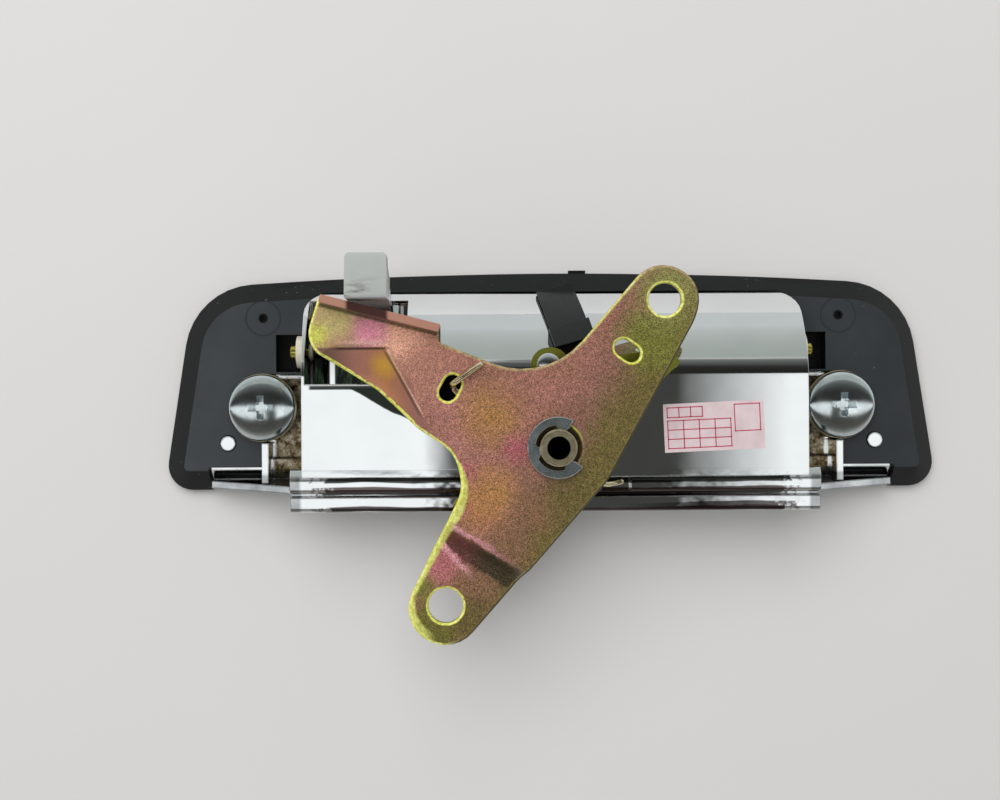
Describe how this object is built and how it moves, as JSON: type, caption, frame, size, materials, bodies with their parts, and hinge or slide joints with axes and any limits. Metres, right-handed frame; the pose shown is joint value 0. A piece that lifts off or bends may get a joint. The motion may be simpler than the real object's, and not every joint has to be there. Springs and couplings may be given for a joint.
{
  "type": "tailgate handle",
  "caption": "Plated pickup tailgate handle with a hinged paddle, a backing pad and a spring-loaded bell crank with two rod holes.",
  "frame": {"origin": "middle of the paddle's flat front face, in the plane of the bezel's front", "axes": "+X along the handle, +Y towards the upper edge of the bezel, +Z into the tailgate, away from the hand"},
  "size_m": [0.2494, 0.118, 0.05],
  "materials": {
    "plated_housing": "bright plated",
    "plated_paddle": "bright plated",
    "black_plastic": "satin moulded",
    "zinc_pin": "yellow zinc plated",
    "nylon": "natural nylon",
    "stop_rubber": "matte",
    "zinc_screw": "clear zinc plated",
    "zinc_washer": "yellow zinc plated",
    "zinc_bracket": "yellow zinc plated",
    "bracket_screw_zinc": "clear zinc plated",
    "post_steel": "turned",
    "bush_bronze": "dull",
    "washer_steel": "satin",
    "clip_steel": "bright zinc plated",
    "spring_wire": "yellow zinc plated",
    "yellow_zinc": "iridescent yellow zinc plated",
    "black_strap": "satin"
  },
  "bodies": {
    "housing": {"housing": "plated_housing", "backing_pad": "black_plastic", "hinge_pin": "zinc_pin", "pin_bush_left": "nylon", "pin_bush_right": "nylon", "paddle_stop_left": "stop_rubber", "paddle_stop_right": "stop_rubber", "mounting_screw_left": "zinc_screw", "mounting_screw_right": "zinc_screw", "screw_washer_left": "zinc_washer", "screw_washer_right": "zinc_washer", "pivot_bracket": "zinc_bracket", "bracket_screw_top": "bracket_screw_zinc", "bracket_screw_right": "bracket_screw_zinc", "bracket_screw_left": "bracket_screw_zinc", "pivot_post": "post_steel", "pivot_bush": "bush_bronze", "thrust_washer": "washer_steel", "e_clip": "clip_steel", "return_spring": "spring_wire", "stop_strap": "black_strap"},
    "paddle": {"paddle": "plated_paddle"},
    "bell_crank": {"bell_crank": "yellow_zinc"}
  },
  "joints": [
    {"name": "paddle_pivot", "type": "hinge", "parent": "housing", "child": "paddle", "pos_m": [0, 0.01, 0.009], "axis": [1, 0, 0], "range_deg": [0, 20]},
    {"name": "crank_pivot", "type": "hinge", "parent": "housing", "child": "bell_crank", "pos_m": [0, -0.02, 0.0401], "axis": [0, 0, 1], "range_deg": [0, 10.4], "stiffness_Nm_per_rad": 0.4, "springref_deg": -20.05, "deforming": ["return_spring"]}
  ],
  "couplings": [
    {"joint": "crank_pivot", "follows": "paddle_pivot", "ratio": 0.52}
  ]
}
